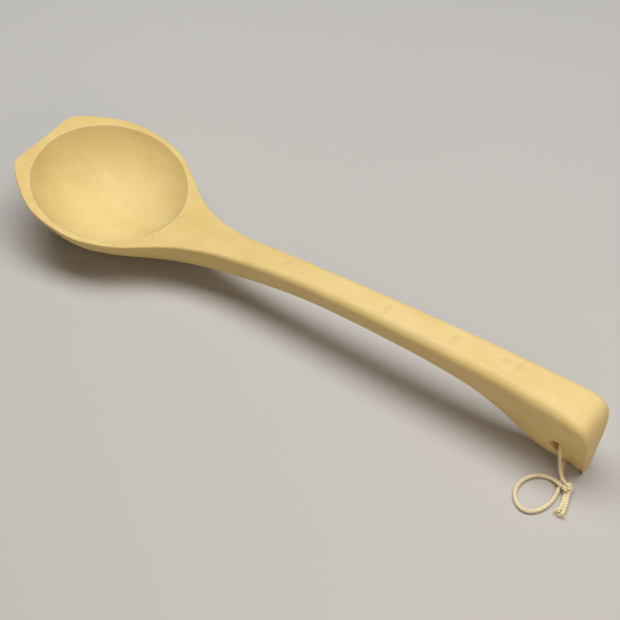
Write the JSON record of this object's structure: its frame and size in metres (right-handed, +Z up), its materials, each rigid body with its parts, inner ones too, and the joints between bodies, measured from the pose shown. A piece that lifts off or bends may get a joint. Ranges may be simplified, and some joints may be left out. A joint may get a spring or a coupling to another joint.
{
  "type": "wooden serving spoon",
  "caption": "One-piece carved wooden ladle with a round tilted bowl, a straight pouring edge, a long arched handle and a knotted cord ring through its deep end.",
  "frame": {"origin": "on the table, under the middle of the wooden spoon's length and on its plane of symmetry", "axes": "+X along the handle from the bowl to the hanging end, +Y across the spoon, +Z up with the hollow facing up"},
  "size_m": [0.3258, 0.0858, 0.0414],
  "materials": {
    "bare_limewood": "matte, sanded and unpainted",
    "cotton_cord": "matte, twisted"
  },
  "bodies": {
    "root": {"spoon_body": "bare_limewood", "hanging_cord": "cotton_cord", "cord_knot": "cotton_cord", "cord_tails": "cotton_cord"}
  },
  "joints": []
}
